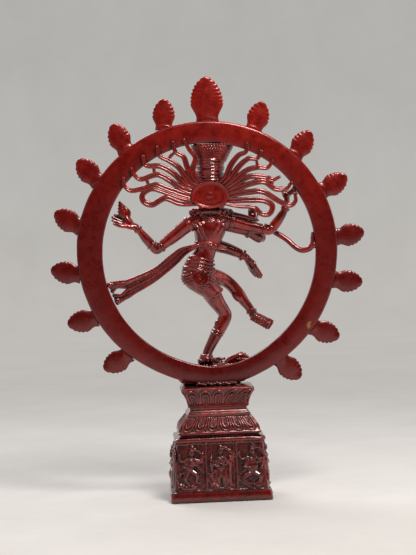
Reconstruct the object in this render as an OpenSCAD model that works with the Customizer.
// Dancing figure in a ring of flames, on a two-tier lotus pedestal.
// Cast pieces, brazed, riveted and bolted together. The figure faces -Y and its left hand is on +X.

/* [Pedestal] */
// Where the pedestal's middle stands, left of the ring's middle
pedestal_x = -4; // [-5:0.5:-3]
// Width of the plinth
plinth_w = 101; // [98:1:104]
// Depth of the plinth
plinth_d = 68; // [66:1:70]
// Height of the plinth
plinth_h = 11; // [9:1:12]
// Width of the carved block at its foot
block_w = 97; // [95:1:97]
// Depth of the carved block at its foot
block_d = 64; // [62:1:65]
// How much narrower the block is at its top
block_taper = 7; // [4:1:9]
// Height of the top of the cornice
cornice_z = 64; // [63:0.5:65]
// Wall of the hollow lower tier
wall = 4; // [3:0.5:5]
// Height of the top of the lotus tier
lotus_z = 111.5; // [111:0.5:112]
// Width of the slab on top of the lotus tier
slab_w = 71; // [69:1:73]
// Depth of the slab on top of the lotus tier
slab_d = 50; // [48:1:52]

/* [Ring] */
// Height of the ring's middle
ring_z = 246; // [245.5:0.25:246.5]
// Outer radius of the ring
ring_r = 131; // [130:0.5:131]
// Radius of the hole in the ring
ring_hole_r = 108; // [107:0.5:109]
// Thickness of the ring
ring_t = 8; // [7:0.5:9]

/* [Flames] */
// Length of a flame beyond the rim
flame_l = 28; // [25:1:30]
// Greatest width of a flame
flame_w = 21; // [18:1:23]
// Width of a flame where it meets the rim
flame_neck = 13; // [11:1:15]
// Thickness of a flame
flame_t = 5; // [4:0.5:6]
// Length of the top flame
top_flame_l = 45; // [42:1:46]
// Width of the top flame
top_flame_w = 32; // [29:1:34]

/* [Fixings] */
// Radius of the tie stud
stud_r = 2.5; // [2:0.5:3]
// Radius of the two rivets under the dwarf
rivet_r = 1.6; // [1.4:0.1:2]

/* [Figure] */
// How far in front of the ring's middle the figure's middle stands
figure_y = 8; // [7:0.5:9]
// Thickness of the head disc
disc_t = 4; // [3:0.5:5]
// Radius of the crown's shaft
crown_r = 12.5; // [11.5:0.5:13]

/* [Hidden] */
// Sides: on round exact shapes, on the ball ends of limbs and on hair
round_fn = 64;
limb_fn = 14;
strand_fn = 7;
eps = 0.02;

// Gaps: a pin in the hole it fits, and a hole the stud only passes through
slip = 0.02;
clear = 0.2;

// Angles from the top, and how far each flame leans from the radius towards the top
LEFT_AT = [17.5, 37, 55.5, 77, 98, 118.5, 140];
LEFT_LEAN = [17, 10, 13, 16, 17, 15, 16];
RIGHT_AT = [22.5, 44, 64, 85.5, 104.5, 127.5, 148];
RIGHT_LEAN = [-2, 6, 0, 2, 4.5, 11, 11];
top_at = 1.8;

ring_foot_z = ring_z - ring_r;
stud_bottom = 44;
stud_top = ring_foot_z + 12;
core_top = lotus_z - 7;

// The two rivets: half their spacing, and where their middle lies from the pedestal's
rivet_gap = 15;
rivet_x = 2;
rivet_y = -15;

// Joints of the body, as [x, y, z]
NECK = [-4, -figure_y, 286];
HEAD = [-5, -figure_y + 1, 303];
CHEST = [-3, -figure_y, 268];
WAIST = [2, -figure_y, 246];
HIPS = [9, -figure_y, 224];
SHOULDER_L = [13, -figure_y, 276];
SHOULDER_R = [-20, -figure_y, 276];
SEAT = [4, -figure_y - 4, 209];

// The disc behind the head: its place and its two radii
disc_y = 6;
disc_z = 304;
disc_x_r = 18;
disc_z_r = 13.5;

// ---- shared shapes ----

// A block with rounded upright edges
module slab(w, d, z0, z1, r = 3) {
    translate([0, 0, z0])
        linear_extrude(z1 - z0)
            union() {
                square([w - 2 * r, d], center = true);
                square([w, d - 2 * r], center = true);
                for (sx = [-1, 1], sy = [-1, 1])
                    translate([sx * (w / 2 - r), sy * (d / 2 - r)])
                        circle(r, $fn = 24);
            }
}

// A block that narrows from one size at z0 to another at z1
module tapered(w0, d0, w1, d1, z0, z1) {
    skin = 0.01;
    hull() {
        translate([-w0 / 2, -d0 / 2, z0])
            cube([w0, d0, skin]);
        translate([-w1 / 2, -d1 / 2, z1 - skin])
            cube([w1, d1, skin]);
    }
}

// Ball-ended rods through points, each point given as [x, y, z, radius]
module limb(points, fn = limb_fn) {
    for (i = [0:len(points) - 2])
        hull()
            for (p = [points[i], points[i + 1]])
                translate([p[0], p[1], p[2]])
                    sphere(p[3], $fn = fn);
}

// ---- pedestal ----

module pedestal_base() {
    top_w = block_w - block_taper;
    top_d = block_d - block_taper;
    block_top = cornice_z - 5;
    color("#4a2020")
        translate([pedestal_x, 0, 0])
            difference() {
                union() {
                    slab(plinth_w, plinth_d, 0, plinth_h, 4);
                    tapered(block_w, block_d, top_w, top_d, plinth_h - eps, block_top);
                    slab(top_w + 1, top_d + 1, block_top - 2, cornice_z, 2);
                }
                tapered(block_w - 2 * wall, block_d - 2 * wall, top_w - 2 * wall,
                        top_d - 2 * wall, -eps, block_top - 1);
                cylinder(r = stud_r + clear, h = 2 * cornice_z, $fn = round_fn);
            }
}

module lotus_tier() {
    waist_z = [90, 96];
    core = [36, 24];
    color("#5a1a16")
        translate([pedestal_x, 0, 0])
            difference() {
                union() {
                    slab(82, 57, cornice_z, 71, 3);
                    slab(78, 54, 71 - eps, 79, 9);
                    slab(68, 46, 79 - eps, 85, 8);
                    slab(60, 40, 85 - eps, waist_z[0], 3);
                    slab(57, 37, waist_z[0] - eps, waist_z[1], 3);
                    slab(60, 40, waist_z[1] - eps, 100, 3);
                    slab(66, 45, 100 - eps, 106, 5);
                    slab(slab_w, slab_d, 106 - eps, lotus_z, 2);
                }
                translate([-core[0] / 2, -core[1] / 2, cornice_z - eps])
                    cube([core[0], core[1], core_top - cornice_z]);
                cylinder(r = stud_r + clear, h = 2 * lotus_z, $fn = round_fn);
                for (side = [-1, 1])
                    translate([side * rivet_gap + rivet_x, rivet_y, core_top - 10])
                        cylinder(r = rivet_r, h = 40, $fn = round_fn);
            }
}

module ring_disc(r, t) {
    translate([0, 0, ring_z])
        rotate([90, 0, 0])
            cylinder(r = r, h = t, center = true, $fn = 180);
}

module ring_saddle() {
    saddle_w = 42;
    saddle_d = 12;
    saddle_h = 5;
    color("#5a1210")
        difference() {
            translate([pedestal_x - saddle_w / 2, -saddle_d / 2 + 2, lotus_z])
                cube([saddle_w, saddle_d, saddle_h]);
            ring_disc(ring_r, 40);
            translate([pedestal_x, 0, 0])
                cylinder(r = stud_r, h = 2 * lotus_z, $fn = round_fn);
        }
}

// The band of the ring: its hole sits a little off the middle, as the casting's does
module ring_band() {
    hole_off = [-1.5, 0, -1.7];
    difference() {
        ring_disc(ring_r, ring_t);
        translate(hole_off)
            ring_disc(ring_hole_r, ring_t + 2);
    }
}

module flame_ring() {
    color("#7a1408")
        difference() {
            ring_band();
            translate([pedestal_x, 0, 0])
                cylinder(r = stud_r, h = stud_top, $fn = round_fn);
        }
}

// ---- flames ----

// Half width of a flame at t, from 0 at the rim to 1 at the tip; it is widest at the belly
belly = 0.45;
function flame_half(t, w, neck) =
    t < belly
        ? neck / 2 + (w - neck) / 2 * (1 - cos(180 * t / belly)) / 2
        : w / 2 * pow(cos(90 * (t - belly) / (1 - belly)), 0.8);

// The flame's outline, growing along +Y from inside the rim
function flame_outline(l, w, neck, root = 4, n = 14) = concat(
    [[neck / 2, -root]],
    [for (i = [0:n]) [flame_half(i / n, w, neck), l * i / n]],
    [for (i = [n - 1:-1:0]) [-flame_half(i / n, w, neck), l * i / n]],
    [[-neck / 2, -root]]);

// A flame at an angle from the top, leaning towards the top; side is 1 for +X
module flame(at, lean, side, l = flame_l, w = flame_w, neck = flame_neck) {
    foot = 0.3;
    color("#7a1408")
        difference() {
            translate([side * ring_r * sin(at), 0, ring_z + ring_r * cos(at)])
                rotate([0, side * (at - lean), 0])
                    rotate([90, 0, 0])
                        translate([0, -foot, -flame_t / 2])
                            linear_extrude(flame_t)
                                polygon(flame_outline(l, w, neck));
            ring_disc(ring_r, 40);
        }
}

module flame_top() flame(top_at, top_at, -1, top_flame_l, top_flame_w, 19);

// ---- figure ----

module torso_solid() {
    hull() {
        translate(CHEST) sphere(12, $fn = 18);
        translate(SHOULDER_L + [-4, 0, -1]) sphere(6, $fn = limb_fn);
        translate(SHOULDER_R + [4, 0, -1]) sphere(6, $fn = limb_fn);
    }
    hull() {
        translate(CHEST + [0, 0, -4]) sphere(11, $fn = 18);
        translate(WAIST) sphere(9.5, $fn = 18);
    }
    hull() {
        translate(WAIST) sphere(9.5, $fn = 18);
        translate(HIPS + [0, 0, 8]) sphere(11, $fn = 18);
    }
    hull() {
        translate(NECK + [0, 0, -6]) sphere(6, $fn = limb_fn);
        translate(NECK + [0, 0, 4]) sphere(5, $fn = limb_fn);
    }
    for (s = [-1, 1])
        hull() {
            translate(CHEST + [s * 6, -7, 0]) sphere(5, $fn = limb_fn);
            translate(CHEST + [s * 5, -4, -5]) sphere(5, $fn = limb_fn);
        }
    for (shoulder = [SHOULDER_L + [-4, 0, 0], SHOULDER_R + [4, 0, 0]])
        hull() {
            translate(NECK + [0, 0, -6]) sphere(5, $fn = limb_fn);
            translate(shoulder) sphere(4, $fn = limb_fn);
        }
}

module torso() {
    color("#5a1210") torso_solid();
}

module loincloth_solid() {
    hull() {
        translate(HIPS + [-6, 0, 0]) sphere(12, $fn = 18);
        translate(HIPS + [6, 0, 0]) sphere(12, $fn = 18);
        translate(HIPS + [0, 0, 8]) sphere(11, $fn = 18);
    }
    hull() {
        translate(HIPS + [4, 0, -2]) sphere(12, $fn = 18);
        translate(SEAT + [-2, 2, 0]) sphere(12.5, $fn = 18);
    }
}

module loincloth() {
    color("#4a1010")
        difference() {
            loincloth_solid();
            torso_solid();
        }
}

// Limbs, from the body outwards, as [x, y, z, radius]
STANDING = [[2, -12, 210, 12], [-7, -14, 194, 9.5], [-15, -16, 182, 7.5], [-9, -15, 170, 7],
            [-4, -14, 160, 6.2], [3, -13, 146, 4.6], [5, -12, 141, 4.4]];
STANDING_FOOT = [[10, -10, 140.5, 4], [0, -14, 140.5, 4], [-11, -18, 139.6, 3]];
module standing_leg() {
    sole = 136.5;
    color("#5a1210")
        difference() {
            union() {
                limb(STANDING);
                limb(STANDING_FOOT);
            }
            translate([-60, -60, sole - 40])
                cube([120, 120, 40]);
            loincloth_solid();
            torso_solid();
        }
}

RAISED = [[6, -12, 222, 11], [-8, -20, 220, 9.5], [-20, -25, 212, 8], [-31, -25, 200, 6.5],
          [-40, -24, 187, 4.6], [-42, -24, 181, 4.6]];
RAISED_FOOT = [[-40, -22, 177, 4.5], [-50, -25, 174, 4], [-62, -27, 170, 3]];
module raised_leg_solid() {
    limb(RAISED);
    limb(RAISED_FOOT);
}
module raised_leg() {
    color("#5a1210")
        difference() {
            raised_leg_solid();
            loincloth_solid();
            torso_solid();
            limb(STANDING);
        }
}

UPPER_LEFT = [concat(SHOULDER_L + [-1, 0, -1], 7), [32, -8, 262, 5.8], [51, -7, 248, 5.2],
              [61, -6, 260, 4.4], [70, -5, 273, 3.4]];
LEFT_PALM = [[78, -5, 278, 4], [86, -5, 281, 3.4], [95, -5, 284, 1.8]];
FLAME_STEM = [[77, -5, 280, 3], [83, -5, 286, 2], [85, -5, 290, 1.6]];
module upper_left_arm() {
    color("#5a1210")
        difference() {
            union() {
                limb(UPPER_LEFT);
                limb(concat([UPPER_LEFT[4]], LEFT_PALM));
                limb(FLAME_STEM);
            }
            torso_solid();
        }
}

module hand_flame() {
    color("#7a1408")
        difference() {
            limb([[85, -5, 290, 3], [88, -5, 296, 3.2], [90, -5, 302, 1.2]]);
            limb(FLAME_STEM);
            limb(LEFT_PALM);
        }
}

LOWER_LEFT = [[12, -12, 272, 6.5], [22, -20, 260, 5.6], [18, -27, 252, 5], [-6, -28, 249, 4.6],
              [-32, -26, 244, 3.6]];
LOWER_LEFT_HAND = [[-32, -26, 244, 3.6], [-38, -26, 239, 4], [-42, -26, 232, 3.4], [-46, -26, 221, 1.8]];
module lower_left_arm() {
    color("#5a1210")
        difference() {
            union() {
                limb(LOWER_LEFT);
                limb(LOWER_LEFT_HAND);
            }
            torso_solid();
            limb(UPPER_LEFT);
            raised_leg_solid();
        }
}

UPPER_RIGHT = [concat(SHOULDER_R + [1, 0, -1], 7), [-42, -8, 269, 5.4], [-63, -7, 264, 5],
               [-72, -6, 275, 4.2], [-80, -5, 287, 3.2]];
DRUM_HAND = [[-80, -5, 287, 3.2], [-82, -5, 294, 3.6], [-80, -5, 300, 2.6], [-77, -5, 303, 1.8]];
module upper_right_arm() {
    color("#5a1210")
        difference() {
            union() {
                limb(UPPER_RIGHT);
                limb(DRUM_HAND);
            }
            torso_solid();
        }
}

// The hourglass drum held between two fingers
module drum() {
    half = 7;
    rim_r = 5;
    middle_r = 2.4;
    color("#4a1410")
        difference() {
            translate([-85, -5, 302])
                rotate([0, 70, 0])
                    union() {
                        cylinder(r1 = rim_r, r2 = middle_r, h = half, $fn = round_fn);
                        translate([0, 0, -half])
                            cylinder(r1 = middle_r, r2 = rim_r, h = half, $fn = round_fn);
                    }
            limb(DRUM_HAND);
        }
}

LOWER_RIGHT = [[-18, -12, 272, 6.5], [-36, -15, 262, 5.4], [-50, -18, 252, 5], [-49, -23, 261, 4.4],
               [-48, -27, 270, 3.2]];
BLESSING_HAND = [[-48, -27, 270, 3.2], [-48, -28, 276, 3.8], [-48, -28, 281, 3.2], [-48, -28, 287, 1.6]];
module lower_right_arm() {
    color("#5a1210")
        difference() {
            union() {
                limb(LOWER_RIGHT);
                limb(BLESSING_HAND);
            }
            torso_solid();
            limb(UPPER_RIGHT);
        }
}

module head_solid() {
    hull() {
        translate(HEAD + [0, 0, 4]) sphere(11, $fn = 20);
        translate(HEAD + [0, -2, -7]) sphere(7.5, $fn = 20);
    }
    for (s = [-1, 1])
        hull() {
            translate(HEAD + [s * 10.5, 0, 2]) sphere(2.2, $fn = 10);
            translate(HEAD + [s * 10, 0, -8]) sphere(2.2, $fn = 10);
        }
}
module head() {
    color("#5a1210")
        difference() {
            head_solid();
            torso_solid();
        }
}

// The band, the coiled shaft, and the tuft of hair that opens to both sides on top
module crown_solid() {
    band_z = 313;
    shaft_z = 318;
    tuft_z = 339;
    rim_z = 351;
    tuft_r = 14;
    spread = 6;
    lean = 4;
    translate([HEAD[0], -figure_y, 0])
        union() {
            translate([0, 0, band_z])
                cylinder(r = crown_r + 0.5, h = shaft_z - band_z, $fn = round_fn);
            translate([0, 0, shaft_z])
                cylinder(r = crown_r, h = tuft_z - shaft_z, $fn = round_fn);
            hull()
                for (side = [-1, 1])
                    translate([side * spread - lean, 0, tuft_z])
                        cylinder(r1 = tuft_r - 2, r2 = tuft_r, h = rim_z - tuft_z, $fn = 32);
            hull()
                for (side = [-1, 1])
                    translate([side * spread - lean, 0, rim_z - eps])
                        cylinder(r1 = tuft_r, r2 = 8, h = 4, $fn = 32);
        }
}
module crown() {
    color("#4a1410")
        difference() {
            crown_solid();
            head_solid();
            ring_band();
        }
}

module head_disc_solid() {
    reach = disc_x_r - disc_z_r;
    translate([HEAD[0], disc_y, disc_z])
        rotate([90, 0, 0])
            linear_extrude(disc_t, center = true)
                hull()
                    for (side = [-1, 1])
                        translate([side * reach, 0])
                            circle(disc_z_r, $fn = 48);
}
module head_disc() {
    color("#7a1408")
        difference() {
            head_disc_solid();
            head_solid();
            crown_solid();
            torso_solid();
        }
}

// ---- hair ----

// Each lock runs outwards from the head disc, as [x, z] points
LEFT_LOCKS = [
    [[14, 301], [40, 310], [50, 314], [62, 311], [74, 309], [80, 314], [82, 322]],
    [[24, 307], [36, 318], [48, 324], [64, 320], [71, 325], [73, 331]],
    [[20, 308], [31, 324], [44, 332], [57, 333], [61, 343]],
    [[16, 312], [26, 330], [35, 337], [46, 344], [47, 352]],
    [[12, 314], [17, 332], [21, 341], [30, 346], [31, 356]],
    [[8, 316], [13, 328], [9, 340], [16, 348], [20, 358]],
    [[12, 293], [41, 301], [54, 294], [63, 299], [62, 306], [54, 310], [42, 306], [24, 298]]];
RIGHT_LOCKS = [
    [[-20, 301], [-44, 304], [-57, 304], [-72, 294], [-83, 289], [-89, 294], [-88, 300]],
    [[-22, 305], [-44, 312], [-58, 314], [-69, 306], [-80, 306], [-85, 312]],
    [[-22, 308], [-43, 319], [-58, 318], [-66, 315], [-73, 318]],
    [[-22, 310], [-40, 325], [-52, 328], [-62, 327], [-67, 334]],
    [[-20, 312], [-33, 329], [-43, 337], [-52, 337], [-56, 344]],
    [[-16, 315], [-25, 331], [-34, 341], [-41, 344], [-42, 351]],
    [[-20, 295], [-44, 295], [-57, 295], [-66, 289], [-63, 281], [-54, 282], [-47, 289], [-24, 297]]];
lock_r = 2.3;
lock_y = 6.4;

module locks(all) {
    for (lock = all)
        limb([for (p = lock) [p[0], lock_y, p[1], lock_r]], strand_fn);
}

module hair(all, side) {
    color("#5a1210")
        difference() {
            union() {
                locks(all);
                limb([for (p = [[14, 292], [16, 302], [12, 312], [5, 317]])
                      [HEAD[0] + side * p[0], lock_y - 1, p[1], 3.4]]);
            }
            head_disc_solid();
            head_solid();
            crown_solid();
            torso_solid();
            ring_band();
        }
}
module hair_left() hair(LEFT_LOCKS, 1);
module hair_right() hair(RIGHT_LOCKS, -1);

// ---- sash and cobra ----

// Middle line of the sash, as [x, z, half height]
SASH = [[14, 249, 5], [28, 243, 6], [46, 230, 7], [62, 220, 8], [78, 212, 9], [94, 206, 10]];
sash_y = -1;

// Its end is parted by an eye, cut by two holes that overlap
SASH_EYE = [[86, 209], [90, 207]];
module sash() {
    color("#7a1a10")
        difference() {
            for (i = [0:len(SASH) - 2])
                hull()
                    for (s = [SASH[i], SASH[i + 1]], side = [-1, 1])
                        translate([s[0] + side * s[2] * 0.3, sash_y, s[1] + side * s[2] * 0.7])
                            sphere(2.5, $fn = 10);
            torso_solid();
            loincloth_solid();
            ring_band();
            for (eye = SASH_EYE)
                translate([eye[0], sash_y, eye[1]])
                    rotate([90, 0, 0])
                        cylinder(r = 2, h = 20, center = true, $fn = 16);
        }
}

// The snake hangs over the forearm and rears its head beside the ring
COBRA = [[-54, -19, 258], [-62, -16, 262], [-70, -12, 262], [-81, -8, 255], [-92, -5, 245], [-99, -2, 245],
         [-104, -1, 250], [-104, -1, 262]];
module cobra() {
    color("#6a1810")
        difference() {
            limb([for (p = COBRA) concat(p, 2.8)], 10);
            limb(LOWER_RIGHT);
            ring_band();
        }
}

// ---- dwarf ----

// The dwarf lies face down on a footing; flat underneath, and flat where the body meets the ring
module dwarf() {
    back = -14;
    footing = [56, 16, 8];
    color("#4a1410")
        difference() {
            union() {
                limb([[-12, back, 126, 10], [4, back, 125, 9.5], [16, back, 123, 9]]);
                limb([[16, back, 121, 8], [27, back - 2, 118, 5], [20, back - 4, 115, 4]]);
                limb([[-24, back - 2, 137, 8], [-25, back - 2, 134, 8]]);
                limb([[-12, back - 8, 124, 5], [-22, back - 8, 118, 4], [-30, back - 6, 122, 3]]);
                limb([[-18, back, 130, 7], [-23, back, 132, 7]]);
                translate([pedestal_x - 30, back - 8.5, lotus_z])
                    cube(footing);
            }
            translate([-80, -80, lotus_z - 40])
                cube([160, 160, 40]);
            translate([-80, -ring_t / 2, lotus_z - 1])
                cube([160, 40, 60]);
            limb(STANDING);
            limb(STANDING_FOOT);
            for (side = [-1, 1])
                translate([pedestal_x + side * rivet_gap + rivet_x, rivet_y, lotus_z - 20])
                    cylinder(r = rivet_r, h = 26, $fn = 24);
        }
}

// ---- fixings ----

module tie_stud() {
    color("#b08a3c")
        translate([pedestal_x, 0, stud_bottom])
            cylinder(r = stud_r - slip, h = stud_top - stud_bottom - 0.5, $fn = round_fn);
}

// A flat ring of r by h around the stud, with its underside at z
module collar(r, h, z, hole_r, sides = round_fn) {
    color("#b08a3c")
        translate([pedestal_x, 0, z])
            difference() {
                cylinder(r = r, h = h, $fn = sides);
                translate([0, 0, -1])
                    cylinder(r = hole_r, h = h + 2, $fn = round_fn);
            }
}

washer_z = cornice_z - 8;
nut_h = 5;
module tie_washer() collar(8, 2, washer_z, stud_r + clear);
module tie_nut() collar(5, nut_h, washer_z - nut_h, stud_r, 6);

module dwarf_rivets() {
    rivet_l = 12.5;
    color("#b08a3c")
        translate([pedestal_x, 0, core_top])
            for (side = [-1, 1])
                translate([side * rivet_gap + rivet_x, rivet_y, 0])
                    cylinder(r = rivet_r - slip, h = rivet_l, $fn = round_fn);
}

pedestal_base();
lotus_tier();
ring_saddle();
flame_ring();
flame_top();
for (i = [1:7])
    flame(LEFT_AT[i - 1], LEFT_LEAN[i - 1], 1);
for (i = [1:7])
    flame(RIGHT_AT[i - 1], RIGHT_LEAN[i - 1], -1);
dwarf();
standing_leg();
raised_leg();
loincloth();
torso();
upper_left_arm();
lower_left_arm();
upper_right_arm();
lower_right_arm();
head();
crown();
head_disc();
hair_left();
hair_right();
sash();
cobra();
hand_flame();
drum();
tie_stud();
tie_washer();
tie_nut();
dwarf_rivets();
